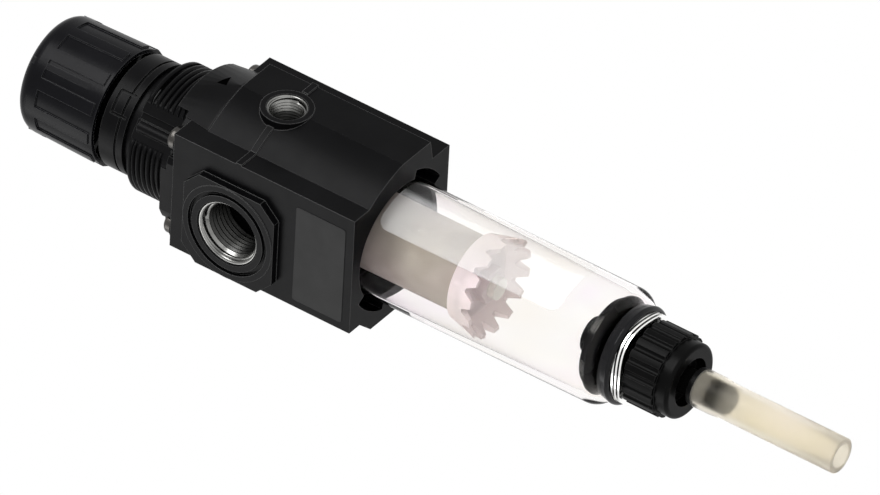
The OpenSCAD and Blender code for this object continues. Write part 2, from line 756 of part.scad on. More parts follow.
module bowl() color([0.9, 0.92, 0.93, 0.4]) difference() {
    union() {
        rotate_extrude($fn = 96) polygon(concat(
            [[bowl_bore, bowl_top], [bowl_r - 0.4, bowl_top], [bowl_r, bowl_top - 0.4]],
            [[bowl_foot_r, -bowl_bottom + bowl_foot_round]],
            arc([bowl_foot_r - bowl_foot_round, -bowl_bottom + bowl_foot_round],
                bowl_foot_round, 0, -90),
            [[shank_r + run, -bowl_bottom], [shank_r + run, bowl_floor]],
            [for (p = arc([bowl_foot_r - bowl_foot_round, -bowl_bottom + bowl_foot_round],
                bowl_foot_round - bowl_wall, -90, 0)) p]));
        for (k = [0, 180]) sector(lug_angle + k, lug_span, bowl_r - 0.8, lug_r, lug_z, lug_z + lug_t);
    }
    ring(bowl_r + 1, bowl_r - 1.1, seal_z - 1.1, seal_z + 1.1);
}

module bowl_seal() color([0.03, 0.03, 0.03])
    o_ring(bowl_r - 1.1 + seal_wire, seal_wire - 0.02, seal_z);

// ---------- Drain ----------

// Flanged spigot that seals inside the bowl; its shank passes out through the foot
module drain_body() color([0.03, 0.03, 0.03]) difference() {
    union() {
        translate([0, 0, bowl_floor])
            cylinder(r1 = drain_flange_r - 1.8, r2 = drain_flange_r, h = 1.6 + eps);
        drill(drain_flange_r, bowl_floor + 1.6, bowl_floor + drain_flange_t);
        drill(shank_r + 2.4, bowl_floor + drain_flange_t - eps, drain_top);
        drill(shank_r, shank_bottom, bowl_floor + eps);
    }
    drill(stem_r + run, shank_bottom - 1, drain_top + 1);
    // Groove for the seal on the bowl floor, and a ledge step on the flange rim
    translate([0, 0, bowl_floor]) ring(shank_r + 3.4, shank_r + 1.2, -eps, 1.3);
    ring(drain_flange_r + 1, drain_flange_r - 1.1, bowl_floor + 2.2, bowl_floor + drain_flange_t + eps);
}

module drain_body_seal() color([0.02, 0.02, 0.02])
    o_ring(shank_r + 2.3, 0.65, bowl_floor + 0.65);

module drain_collar() color([0.04, 0.04, 0.04]) difference() {
    rotate_extrude() polygon(concat(
        [[shank_r + run, -bowl_bottom], [washer_r - 0.6, -bowl_bottom]],
        arc([washer_r - 0.9, collar_bottom + 0.9], 0.9, 0, -90),
        [[shank_r + run, collar_bottom]]));
    ring(washer_r - 1.1, washer_r - 3.2, collar_bottom - eps, collar_bottom + 0.7);
}

module drain_spring() color([0.85, 0.85, 0.85])
    coil(washer_r - 2.5, 0.9, nut_top, collar_bottom + 0.7, 3, sides = 8, steps = 36);

// Fluted thumb nut, turned by hand, with a plain end and a recess for the hose
module drain_nut() color([0.04, 0.04, 0.04]) difference() {
    union() {
        translate([0, 0, nut_top - nut_l]) linear_extrude(nut_l) difference() {
            circle(r = nut_r);
            for (i = [0 : flute_count - 1]) rotate(360 / flute_count * i)
                translate([nut_r + 0.35, 0]) circle(r = 1, $fn = 16);
        }
        translate([0, 0, nut_bottom]) rotate_extrude() polygon(concat(
            [[0, 0]], arc([nut_end_r - 1, 1], 1, -90, 0), [[nut_end_r, 4 + eps], [0, 4 + eps]]));
    }
    drill(shank_r + run, shank_bottom - 0.6, nut_top + eps);
    drill(stem_r + 0.6, nut_bottom - 1, nut_top);
    drill(nut_recess_r, nut_bottom - eps, nut_bottom + nut_recess_d);
}

// Hollow stem: a sealing head inside the bowl and a barbed nozzle outside
module drain_stem() color([0.04, 0.04, 0.045]) difference() {
    union() {
        drill(stem_head_r, stem_top - stem_head_t, stem_top);
        drill(stem_r, barb_bottom + 1, stem_top - eps);
        drill(stem_r + 1.4, tube_top, tube_top + 1.2);
        translate([0, 0, barb_bottom])
            cylinder(r1 = stem_r - 0.8, r2 = stem_r, h = 1 + eps);
    }
    drill(1.6, barb_bottom - 1, stem_top - 3);
    rotate([90, 0, 0]) translate([0, stem_top - stem_head_t - 0.9 - 2.5, 0])
        cylinder(r = 0.8, h = 2 * stem_r + 1, center = true);
}

module stem_seal() color([0.02, 0.02, 0.02])
    ring(stem_head_r - 0.2, stem_r + run, drain_top + seat_gap, stem_top - stem_head_t);

// Soft hose pushed over the nozzle; it swells where the barb fills it
module drain_tube() color([0.9, 0.88, 0.72]) rotate_extrude() polygon([
    [stem_r + run, tube_top], [tube_r + tube_bulge, tube_top],
    [tube_r + tube_bulge, barb_bottom + 5], [tube_r, barb_bottom + 1.5],
    [tube_r, tube_top - tube_l], [tube_bore, tube_top - tube_l],
    [tube_bore, barb_bottom - 0.6], [stem_r + run, barb_bottom - 0.2]]);

body_casting();
bonnet();
bonnet_screws();
locking_collar();
rear_gauge_plug();
rear_plug_seal();
valve_seat();
valve_cage();
cage_seal();
louvre();
filter_element();
star_baffle();
baffle_nut();
diaphragm();
adjusting_screw();
thrust_washer();
knob();
spring_button();
regulating_spring();
diaphragm_plate();
relief_seat();
valve_pin();
valve_poppet();
valve_spring();
bowl();
bowl_seal();
drain_body();
drain_body_seal();
drain_collar();
drain_spring();
drain_nut();
drain_stem();
stem_seal();
drain_tube();
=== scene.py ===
"""Looks of a compressed-air filter-regulator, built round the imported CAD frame.

Lengths are in millimetres in the part's frame: +Z to the knob, -Y the front, the pipe run along X.
Angles are in degrees about +Z, from +X.
"""

import math

import bmesh
import bpy
from mathutils import Matrix, Vector


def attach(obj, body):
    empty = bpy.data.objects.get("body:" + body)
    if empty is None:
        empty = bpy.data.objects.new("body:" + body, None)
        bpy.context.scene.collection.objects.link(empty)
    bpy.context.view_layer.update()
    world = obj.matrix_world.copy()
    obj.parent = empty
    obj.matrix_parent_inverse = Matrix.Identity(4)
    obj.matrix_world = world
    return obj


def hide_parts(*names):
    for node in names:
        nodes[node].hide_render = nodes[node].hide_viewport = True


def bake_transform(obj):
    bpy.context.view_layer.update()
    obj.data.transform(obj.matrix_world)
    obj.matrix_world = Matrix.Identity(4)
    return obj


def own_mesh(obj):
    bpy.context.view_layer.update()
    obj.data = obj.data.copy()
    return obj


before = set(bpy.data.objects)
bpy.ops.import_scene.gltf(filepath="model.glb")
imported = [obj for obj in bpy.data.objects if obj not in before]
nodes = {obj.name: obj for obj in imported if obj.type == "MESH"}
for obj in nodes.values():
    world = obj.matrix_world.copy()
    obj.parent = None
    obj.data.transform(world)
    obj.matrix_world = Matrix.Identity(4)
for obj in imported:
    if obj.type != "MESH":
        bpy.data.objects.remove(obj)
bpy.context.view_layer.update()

MM = 0.001

# ---------- Sizes shared with the part's source ----------

HALF_W = 20.0  # flange faces of the casting
PORT_Y = 3.0  # pipe run behind the main axis
PORT_FACE = 22.4
GAUGE_Z = -1.0
GAUGE_FACE = 24.3
NECK_R = 16.9
NECK_FOOT = 22.7
NECK_TOP = 35.0
KEY_ANGLE = -142.0
BOWL_R = 16.1
BOWL_FOOT_R = 15.8
BOWL_WALL = 2.0
BOWL_TOP = -23.3
BOWL_BOTTOM = -107.0
BOWL_ROUND = 4.0
SHANK_R = 5.9
SEAL_Z = -25.5
LUG_R = 19.0
LUG_Z = -31.5
LUG_T = 3.0
LUG_SPAN = 30.0
LUG_ANGLE = -97.0
COLLAR_BOTTOM = -110.5
NUT_TOP = -113.5
STEM_R = 3.6
TUBE_R = 4.76
TUBE_BORE = 3.2
TUBE_TOP = -129.7
TUBE_END = -172.2
BARB_END = -139.7
DIAPHRAGM_Z = 16.5
DIAPHRAGM_T = 1.2
DIAPHRAGM_R = 16.2

# ---------- Sizes of what is made here ----------

# Threaded bores. Wall, depth and chamfer are those of the part's source. Bright is the width
# of the metal cone at the mouth, and turned counts the pitches below it that keep the lighter
# metal; deeper turns get a darker copy of the same metal, as painted shade of the bore
PORT_THREAD = {
    "wall": 8.33,
    "crest": 7.48,
    "pitch": 1.337,
    "depth": 11.5,
    "chamfer": 1.0,
    "bright": 0.6,
    "turned": 1.7,
}
GAUGE_THREAD = {
    "wall": 4.86,
    "crest": 4.28,
    "pitch": 0.907,
    "depth": 8.0,
    "chamfer": 0.5,
    "bright": 0.3,
    "turned": 5,
}
SKIN_LIFT = 0.02  # between a skin or a moving piece and what it lies against
SKIN_BACK = 0.15  # how far behind a skin its back lies
GAP = 0.05  # round a shaft that the CAD gives
SUNK = 0.05  # depth to which a piece sinks in the face that it stands on

NECK_PITCH = 1.5875
NECK_CREST = 17.8
NECK_ROOT = NECK_R - SUNK
NECK_RANGE = (NECK_FOOT + 0.8, NECK_TOP - 1.5)  # heights of the thread
NECK_LAND = (NECK_TOP - 1.3, NECK_TOP + 0.2)  # heights of the plain ring above it
LAND_EDGE = 0.3  # its chamfers, and its depth in the neck
KEY_HALF = 17.0  # half angle that each panel flat leaves without thread
NECK_SPANS = [
    (KEY_ANGLE + KEY_HALF, KEY_ANGLE + 180 - KEY_HALF),
    (KEY_ANGLE + 180 + KEY_HALF, KEY_ANGLE + 360 - KEY_HALF),
]

BOWL_EDGE = 0.4
SEAL_GROOVE = 1.1  # depth and half height of the ring groove
BOWL_TAPER_TOP = SEAL_Z - 2.0

FILM_T = 0.06
FILM_ANGLES = (-134.0, -61.0)
FILM_HEIGHTS = (-93.0, -37.5)
FILM_CORNER = 3.0

HOSE_EDGE = 0.15
HOSE_BORE_EDGE = 0.1
HOSE_TOP_EDGE = 0.3
HOSE_FLARE = [(0.35, 5.0), (0.2, 3.0), (0.0, 1.5)]  # how much wider, how far above the barb's end
HOSE_BORE_FROM = 0.6  # below the barb's end, where its own bore begins
HOSE_STEM_TO = 0.2  # below the barb's end, where the stem's sleeve ends
# How clear the hose is down its length: clearest where it is tight on the barb
HOSE_CLARITY = [
    (TUBE_TOP, 0.88),
    (BARB_END + 6.7, 0.92),
    (BARB_END + 5.7, 0.985),
    (BARB_END + 3.7, 0.985),
    (BARB_END + 1.2, 0.91),
    (BARB_END - 3.0, 0.84),
]

WAVE_R = (10.3, 12.2)
WAVE_T = 0.5
WAVE_LOOPS = 3
WAVES = 3.5  # in a loop
WAVE_SHARE = 0.5  # height of a wave, as a share of the rise of a loop
WAVE_TOP = COLLAR_BOTTOM + 0.6

MAIN_R = 9.6
MAIN_WIRE = 2.2
MAIN_FOOT = 19.2
MAIN_TOP = 37.0
MAIN_TURNS = 4
VALVE_R = 4.6
VALVE_WIRE = 0.7
VALVE_FOOT = -16.0
VALVE_TOP = -5.6
VALVE_TURNS = 4.5

ROLL_C = 10.8  # radius at which the diaphragm's roll is centred
ROLL_OUT = 1.8
ROLL_IN = 0.8
ROLL_END = 41.8  # angle where the outside of the roll meets the top of the rim
ROLL_SECTORS = 12
DIAPHRAGM_BORE = 4.2

LABEL_Y = (-14.0, 15.4)
LABEL_Z = (-34.5, -19.2)
LABEL_CORNER = 0.8
LABEL_T = 0.12
MARK_LIFT = 0.06
MARK_CORNERS = [(2.4, 18.2), (-1.4, 19.7), (-1.4, 16.9)]  # (x, z), the tip first


# ---------- Shader helpers ----------

# Sockets of a Mix node that mixes colours
MIX_AMOUNT, MIX_FIRST, MIX_SECOND, MIX_RESULT = 0, 6, 7, 2


def grey(level):
    """A colour without hue."""
    return (level, level, level)


def principled(name):
    """A new material with its node tree and its Principled shader."""
    mat = bpy.data.materials.new(name)
    mat.use_nodes = True
    tree = mat.node_tree
    return mat, tree, tree.nodes["Principled BSDF"]


def noise(tree, size, detail=3.0):
    """A noise value over the object, with features about size millimetres across."""
    coords = tree.nodes.new("ShaderNodeTexCoord")
    mapping = tree.nodes.new("ShaderNodeMapping")
    mapping.inputs["Scale"].default_value = [1 / (size * MM)] * 3
    field = tree.nodes.new("ShaderNodeTexNoise")
    field.inputs["Scale"].default_value = 1.0
    field.inputs["Detail"].default_value = detail
    tree.links.new(coords.outputs["Object"], mapping.inputs["Vector"])
    tree.links.new(mapping.outputs["Vector"], field.inputs["Vector"])
    return field.outputs["Fac"]


def place_axes(tree):
    """The place on the object, as X, Y and Z in metres."""
    coords = tree.nodes.new("ShaderNodeTexCoord")
    split = tree.nodes.new("ShaderNodeSeparateXYZ")
    tree.links.new(coords.outputs["Object"], split.inputs[0])
    return split.outputs


def combined(tree, operation, *values):
    """Some values taken together, two by two, by a Math operation."""
    total = values[0]
    for value in values[1:]:
        node = tree.nodes.new("ShaderNodeMath")
        node.operation = operation
        tree.links.new(total, node.inputs[0])
        tree.links.new(value, node.inputs[1])
        total = node.outputs[0]
    return total


def mapped(tree, value, span=(0.0, 1.0), result=(0.0, 1.0), smooth=False):
    """A value carried from one span to another, and held at the ends."""
    node = tree.nodes.new("ShaderNodeMapRange")
    if smooth:
        node.interpolation_type = "SMOOTHSTEP"
    for socket, level in zip(("From Min", "From Max", "To Min", "To Max"), (*span, *result)):
        node.inputs[socket].default_value = level
    tree.links.new(value, node.inputs["Value"])
    return node.outputs["Result"]


def mixed(tree, amount, first, second):
    """From a colour that comes in to the fixed second one, by amount."""
    mix = tree.nodes.new("ShaderNodeMix")
    mix.data_type = "RGBA"
    mix.inputs[MIX_SECOND].default_value = (*second, 1)
    tree.links.new(amount, mix.inputs[MIX_AMOUNT])
    tree.links.new(first, mix.inputs[MIX_FIRST])
    return mix.outputs[MIX_RESULT]


def ramp(tree, value, stops):
    """The colour at a value, from stops of (position, colour) in rising order."""
    node = tree.nodes.new("ShaderNodeValToRGB")
    marks = node.color_ramp.elements
    for i, (position, colour) in enumerate(stops):
        mark = marks[i] if i < 2 else marks.new(1.0)
        mark.position = position
        mark.color = (*colour, 1)
    tree.links.new(value, node.inputs["Fac"])
    return node.outputs["Color"]


# ---------- Materials ----------

RELIEF = 0.05  # depth of the fine grain
EDGE_HIGHLIGHT_SPAN = (0.985, 0.9)  # agreement of flat and softened normal where the painted edge highlight starts and is full


def painted_edge_highlight(tree, soft, base, edge_highlight):
    """A painted highlight: a paler colour where the softened normal leaves the flat one, so along
    edges.
    """
    flat = tree.nodes.new("ShaderNodeNewGeometry")
    agree = tree.nodes.new("ShaderNodeVectorMath")
    agree.operation = "DOT_PRODUCT"
    tree.links.new(soft, agree.inputs[0])
    tree.links.new(flat.outputs["Normal"], agree.inputs[1])
    amount = mapped(tree, agree.outputs["Value"], span=EDGE_HIGHLIGHT_SPAN)
    return mixed(tree, amount, base, edge_highlight)


def surface(
    name,
    dark,
    light,
    rough=(0.35, 0.5),
    metal=0.0,
    grain=0.35,
    bump=0.15,
    edge=0.25,
    shine=0.5,
    edge_highlight=None,
):
    """An opaque material: cloudy colour and gloss, a fine grain and softened edges, with a painted
    highlight along the edges where one is given.
    """
    mat, tree, bsdf = principled(name)
    bsdf.inputs["Metallic"].default_value = metal
    bsdf.inputs["Specular IOR Level"].default_value = shine
    cloud = noise(tree, size=9.0)
    base = ramp(tree, cloud, [(0.3, dark), (0.7, light)])
    smudge = noise(tree, size=4.0, detail=5.0)
    tree.links.new(mapped(tree, smudge, result=rough), bsdf.inputs["Roughness"])
    relief = tree.nodes.new("ShaderNodeBump")
    relief.inputs["Strength"].default_value = bump
    relief.inputs["Distance"].default_value = RELIEF * MM
    tree.links.new(noise(tree, size=grain, detail=2.0), relief.inputs["Height"])
    if edge:
        soft = tree.nodes.new("ShaderNodeBevel")
        soft.samples = 6
        soft.inputs["Radius"].default_value = edge * MM
        tree.links.new(soft.outputs["Normal"], relief.inputs["Normal"])
        # A paler colour along the edges: a painted highlight.
        if edge_highlight:
            base = painted_edge_highlight(tree, soft.outputs["Normal"], base, edge_highlight)
    tree.links.new(base, bsdf.inputs["Base Color"])
    tree.links.new(relief.outputs["Normal"], bsdf.inputs["Normal"])
    return mat


def clear(name, tints, rim, rough, ior, weight=1.0):
    """A see-through plastic: faint cloudy tints, and a deeper colour where it is seen edge on."""
    mat, tree, bsdf = principled(name)
    bsdf.inputs["Transmission Weight"].default_value = weight
    bsdf.inputs["IOR"].default_value = ior
    first, width = 0.32, 0.36  # of the stops along the ramp
    stops = [(first + width * i / (len(tints) - 1), tint) for i, tint in enumerate(tints)]
    body = ramp(tree, noise(tree, size=22.0, detail=1.0), stops)
    turned = tree.nodes.new("ShaderNodeLayerWeight")
    turned.inputs["Blend"].default_value = 0.5
    edge_on = mapped(tree, turned.outputs["Facing"], span=(0.45, 1.0), smooth=True)
    tree.links.new(mixed(tree, edge_on, body, rim), bsdf.inputs["Base Color"])
    smudge = noise(tree, size=12.0, detail=4.0)
    tree.links.new(mapped(tree, smudge, result=rough), bsdf.inputs["Roughness"])
    return mat


def clear_by_height(mat, stops):
    """Sets how clear a see-through material is, from stops of (height, weight)."""
    tree = mat.node_tree
    top, end = stops[0][0], stops[-1][0]
    along = mapped(tree, place_axes(tree)["Z"], span=(top * MM, end * MM))
    shares = [((height - top) / (end - top), grey(weight)) for height, weight in stops]
    weight = ramp(tree, along, shares)
    tree.links.new(weight, tree.nodes["Principled BSDF"].inputs["Transmission Weight"])


def clear_by_angle(mat, angles, weights):
    """Lets a see-through material go from one weight to another between two angles."""
    tree = mat.node_tree
    axes = place_axes(tree)
    angle = combined(tree, "ARCTAN2", axes["Y"], axes["X"])
    span = [math.radians(a) for a in angles]
    weight = mapped(tree, angle, span=span, result=weights, smooth=True)
    tree.links.new(weight, tree.nodes["Principled BSDF"].inputs["Transmission Weight"])


PAINT = surface(
    "casting_paint",
    dark=(0.0015, 0.0015, 0.0017),
    light=(0.0025, 0.0025, 0.0028),
    rough=(0.3, 0.4),
    edge=0.3,
    shine=0.04,
    # paler edge colour: a painted highlight
    edge_highlight=grey(0.07),
)
MOULDED = surface(
    "moulded_black",
    dark=(0.0015, 0.0015, 0.0017),
    light=(0.003, 0.003, 0.0033),
    rough=(0.3, 0.4),
    bump=0.12,
    shine=0.045,
    # paler edge colour: a painted highlight
    edge_highlight=grey(0.035),
)
KNOB = surface(
    "knob_black",
    dark=(0.002, 0.002, 0.0027),
    light=(0.0035, 0.0035, 0.0045),
    rough=(0.22, 0.32),
    bump=0.1,
    shine=0.06,
    # paler edge colour: a painted highlight
    edge_highlight=(0.035, 0.035, 0.037),
)
GLOSS_BLACK = surface(
    "gloss_black",
    dark=(0.003, 0.003, 0.0035),
    light=(0.005, 0.005, 0.006),
    rough=(0.08, 0.16),
    bump=0.03,
    shine=0.12,
)
LOUVRE = surface(
    "louvre_black",
    dark=(0.003, 0.003, 0.0035),
    light=(0.005, 0.005, 0.006),
    rough=(0.15, 0.25),
    bump=0.05,
    shine=0.08,
)
NUT_BLACK = surface(
    "nut_black",
    dark=grey(0.0015),
    light=grey(0.003),
    rough=(0.26, 0.38),
    bump=0.12,
    shine=0.035,
    # paler edge colour: a painted highlight
    edge_highlight=grey(0.025),
)
RUBBER = surface("nitrile", dark=grey(0.006), light=grey(0.01), rough=(0.45, 0.6), shine=0.25)
# Lit and shaded copies of one aluminium for the threaded bores: this lighter one at the mouth and
# first turns, the next one darker, as painted shade deeper in the bore.
ALUMINIUM_LIT = surface(
    "aluminium_lit_copy",
    dark=(0.09, 0.09, 0.087),
    light=(0.26, 0.26, 0.25),
    rough=(0.2, 0.36),
    metal=1.0,
    grain=0.2,
    bump=0.3,
    edge=0.06,
)
# The darker copy: painted shade deep in a threaded bore.
ALUMINIUM_SHADED = surface(
    "aluminium_painted_shade",
    dark=(0.03, 0.03, 0.029),
    light=(0.06, 0.06, 0.058),
    rough=(0.3, 0.45),
    metal=1.0,
    grain=0.2,
    bump=0.2,
    edge=0.06,
)
DARK_STEEL = surface(
    "blackened_steel",
    dark=(0.04, 0.038, 0.036),
    light=(0.08, 0.076, 0.07),
    rough=(0.25, 0.4),
    metal=1.0,
    grain=0.3,
)
ZINC = surface(
    "zinc_steel",
    dark=(0.5, 0.5, 0.48),
    light=(0.66, 0.66, 0.64),
    rough=(0.25, 0.4),
    metal=1.0,
    grain=0.3,
)
WIRE = surface(
    "bright_wire",
    dark=(0.8, 0.8, 0.79),
    light=(0.9, 0.9, 0.88),
    rough=(0.08, 0.18),
    metal=1.0,
    grain=0.5,
    bump=0.05,
    edge=0.05,
)
SPRING = surface(
    "spring_steel",
    dark=(0.2, 0.2, 0.21),
    light=(0.3, 0.3, 0.31),
    rough=(0.3, 0.45),
    metal=1.0,
)
BRASS = surface(
    "turned_brass",
    dark=(0.6, 0.45, 0.2),
    light=(0.72, 0.56, 0.27),
    rough=(0.2, 0.35),
    metal=1.0,
    grain=0.2,
    bump=0.1,
)
ACETAL = surface("acetal", dark=(0.62, 0.6, 0.55), light=(0.7, 0.68, 0.63))
ELEMENT = surface(
    "sintered_element",
    dark=(0.27, 0.24, 0.208),
    light=(0.355, 0.32, 0.28),
    rough=(0.75, 0.9),
    grain=0.45,
    bump=0.8,
    edge=0.0,
)
LABEL = surface(
    "label_panel",
    dark=grey(0.009),
    light=grey(0.013),
    rough=(0.5, 0.6),
    bump=0.05,
    shine=0.15,
)
MARK = surface(
    "flow_mark",
    dark=grey(0.0004),
    light=grey(0.0008),
    rough=(0.8, 0.9),
    edge=0.0,
    shine=0.0,
)
BOWL = clear(
    "bowl_clear",
    tints=[(0.985, 0.965, 0.935), (0.99, 0.98, 0.97), (0.985, 0.94, 0.975)],
    rim=(0.93, 0.89, 0.88),
    rough=(0.0, 0.03),
    ior=1.07,
)
FILM = clear(
    "label_film",
    tints=[(0.97, 0.965, 0.96), grey(0.985)],
    rim=(0.9, 0.89, 0.88),
    rough=(0.02, 0.05),
    ior=1.02,
)
clear_by_angle(FILM, angles=(-95, -84), weights=(0.85, 0.98))
BAFFLE = clear(
    "baffle_translucent",
    tints=[(0.86, 0.78, 0.77), (0.89, 0.82, 0.81)],
    rim=(0.84, 0.75, 0.74),
    rough=(0.4, 0.55),
    ior=1.15,
    weight=0.36,
)
TUBE = clear(
    "tube_translucent",
    tints=[(0.86, 0.81, 0.68), (0.9, 0.85, 0.77)],
    rim=(0.87, 0.83, 0.77),
    rough=(0.3, 0.45),
    ior=1.15,
)
clear_by_height(TUBE, HOSE_CLARITY)

FINISHES = {
    PAINT: ["body_casting"],
    MOULDED: ["bonnet", "locking_collar"],
    KNOB: ["knob"],
    GLOSS_BLACK: ["drain_body", "drain_collar"],
    LOUVRE: ["louvre"],
    NUT_BLACK: ["drain_nut", "drain_stem"],
    RUBBER: [
        "rear_plug_seal",
        "cage_seal",
        "bowl_seal",
        "drain_body_seal",
        "stem_seal",
        "diaphragm",
        "valve_poppet",
    ],
    DARK_STEEL: ["bonnet_screws"],
    ZINC: ["adjusting_screw", "diaphragm_plate"],
    WIRE: ["valve_spring", "drain_spring"],
    SPRING: ["regulating_spring"],
    BRASS: ["rear_gauge_plug", "valve_seat", "spring_button", "relief_seat", "valve_pin"],
    ACETAL: ["valve_cage", "thrust_washer"],
    ELEMENT: ["filter_element"],
    BAFFLE: ["star_baffle", "baffle_nut"],
    BOWL: ["bowl"],
    TUBE: ["drain_tube"],
}
for finish, names in FINISHES.items():
    for node_name in names:
        mesh = nodes[node_name].data
        mesh.materials.clear()
        mesh.materials.append(finish)


# ---------- Mesh helpers ----------


def added(name, data):
    """A new object in the scene."""
    obj = bpy.data.objects.new(name, data)
    bpy.context.scene.collection.objects.link(obj)
    return obj


def piece(name, points, faces, body, finish, smooth=True):
    """A mesh from points in millimetres, riding on a body if one is named."""
    mesh = bpy.data.meshes.new(name)
    mesh.from_pydata([Vector(p) * MM for p in points], [], faces)
    mesh.validate()
    shell = bmesh.new()
    shell.from_mesh(mesh)
    bmesh.ops.recalc_face_normals(shell, faces=shell.faces)
    shell.to_mesh(mesh)
    shell.free()
    mesh.update()
    if smooth:
        mesh.polygons.foreach_set("use_smooth", [True] * len(mesh.polygons))
    mesh.materials.append(finish)
    obj = added(name, mesh)
    if body:
        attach(obj, body)
    return obj


def thicken(obj):
    """Closes an open skin with a back, on the side away from its normals."""
    back = obj.modifiers.new("back", "SOLIDIFY")
    back.thickness = SKIN_BACK * MM
    back.offset = -1.0


def arc(cx, cz, r, a0, a1, steps):
    """Points (radius, height) on an arc of a profile."""
    turn = [math.radians(a0 + (a1 - a0) * i / steps) for i in range(steps + 1)]
    return [(cx + r * math.cos(t), cz + r * math.sin(t)) for t in turn]


def round_axis(profile, a):
    """A profile of (radius, height) points, set at an angle in radians about +Z."""
    return [(r * math.cos(a), r * math.sin(a), z) for r, z in profile]


def joined(rows, width, first=0, ring=False, closed=True, turned_over=False):
    """Faces between rows of points. A ring joins its last row to its first, and a closed row
    its last point to its first."""
    faces = []
    for i in range(rows if ring else rows - 1):
        here = first + i * width
        there = first + (i + 1) % rows * width
        for k in range(width if closed else width - 1):
            m = (k + 1) % width
            if turned_over:
                faces.append((here + k, here + m, there + m, there + k))
            else:
                faces.append((here + k, there + k, there + m, here + m))
    return faces


def ends(rows, width, first=0):
    """Flat faces on the first and the last row of points."""
    last = first + (rows - 1) * width
    return [tuple(first + k for k in range(width)), tuple(last + k for k in reversed(range(width)))]


def lathe(name, profile, body, finish, segments):
    """Turns a closed profile of (radius, height) points about +Z."""
    points = []
    for i in range(segments):
        points += round_axis(profile, 2 * math.pi * i / segments)
    return piece(name, points, joined(segments, len(profile), ring=True), body, finish)


def sweep(name, profile, start, end, body, finish, steps, smooth=True):
    """Turns a closed profile about +Z between two angles, with flat ends."""
    points = []
    for i in range(steps + 1):
        points += round_axis(profile, math.radians(start + (end - start) * i / steps))
    width = len(profile)
    faces = joined(steps + 1, width) + ends(steps + 1, width)
    return piece(name, points, faces, body, finish, smooth)


# ---------- Threads ----------


def facing(direction, origin):
    """Carries +Z to a direction, and the origin to a point, in millimetres."""
    turn = Vector((0, 0, 1)).rotation_difference(Vector(direction)).to_matrix().to_4x4()
    return Matrix.Translation(Vector(origin)) @ turn


def thread_sleeve(name, place, wall, crest, pitch, depth, chamfer, bright, turned):
    """The metal skin of a threaded bore: ridges down the wall and the conical mouth.

    It is made round +Z with its mouth at height 0, and place carries it to the port.
    """
    steps = 72  # in a turn
    floor_gap = 0.2
    fade_in, fade_out = 0.6, 0.5  # turns
    lap = 0.6  # pitches that the mouth's skin reaches down the wall
    ridge = [(0.0, 0.0), (0.3, 1.0), (0.5, 1.0), (0.8, 0.0)]  # shares of the pitch, of the height
    root = wall - SKIN_LIFT
    turns = (depth - chamfer - floor_gap) / pitch
    count = int(turns * steps)
    points = []
    for i in range(count + 1):
        start = -chamfer - pitch * i / steps
        fade = min(1.0, i / (steps * fade_in), (count - i) / (steps * fade_out))
        outline = [
            (root - (wall - crest) * rise * fade, max(start - pitch * along, -depth))
            for along, rise in ridge
        ]
        points += round_axis(outline, 2 * math.pi * i / steps)
    width = len(ridge)
    faces = joined(count + 1, width, closed=False, turned_over=True)
    # The root joins each turn to the next one
    for i in range(count - steps):
        near = i * width + width - 1
        far = (i + steps) * width
        faces.append((near, far, far + width, near + width))
    mouth = [
        (root, -chamfer - pitch * lap),
        (root, -chamfer),
        (wall + bright - SKIN_LIFT, bright - chamfer),
    ]
    faces += joined(
        steps, len(mouth), first=len(points), ring=True, closed=False, turned_over=True
    )
    for i in range(steps):
        points += round_axis(mouth, 2 * math.pi * i / steps)
    obj = piece(name, [place @ Vector(p) for p in points], faces, "housing", ALUMINIUM_SHADED)
    # The mouth and the first turns get the lighter metal and deeper turns the darker one, as
    # painted shade of the bore; all normals look to the bore's axis
    obj.data.materials.append(ALUMINIUM_LIT)
    back = place.inverted()
    for face in obj.data.polygons:
        centre = back @ (face.center / MM)
        if centre.z > -chamfer - turned * pitch:
            face.material_index = 1
        outward = Vector((centre.x, centre.y, 0))
        if (back.to_3x3() @ face.normal).dot(outward) > 0:
            face.flip()
    thicken(obj)


def arc_bar(points, faces, a0, a1, section):
    """Adds a bar along an arc. Section gives its outline at an angle, with a fade at the ends."""
    degrees_per_step = 2.5
    taper_steps = 2.0
    steps = int((a1 - a0) / degrees_per_step)
    first = len(points)
    for i in range(steps + 1):
        angle = a0 + (a1 - a0) * i / steps
        outline = section(angle, min(1.0, i / taper_steps, (steps - i) / taper_steps))
        points += round_axis(outline, math.radians(angle))
    width = len(outline)
    faces += joined(steps + 1, width, first) + ends(steps + 1, width, first)


def neck_ridge(start, angle, fade):
    """Outline of a ridge of the panel thread, on the turn that begins at a height."""
    # Shares of the pitch, and of the ridge's height; the foot is sunk in the neck
    ridge = [(0.0, -0.3), (0.12, 0.0), (0.27, 1.0), (0.63, 1.0), (0.78, 0.0), (0.9, -0.3)]
    low, high = NECK_RANGE
    lift = NECK_PITCH * (angle - NECK_SPANS[0][0]) / 360
    outline = []
    for along, rise in ridge:
        share = rise * (fade if rise > 0 else 1.0)
        height = min(max(start + lift + NECK_PITCH * along, low), high)
        outline.append((NECK_ROOT + (NECK_CREST - NECK_ROOT) * share, height))
    return outline


def neck_land(fade):
    """Outline of the plain ring above the panel thread."""
    foot, top = NECK_LAND
    out = NECK_ROOT + (NECK_CREST - NECK_ROOT) * fade
    return [
        (NECK_ROOT - LAND_EDGE, foot),
        (NECK_ROOT, foot),
        (out, foot + LAND_EDGE),
        (out, top - LAND_EDGE),
        (NECK_ROOT, top),
    ]


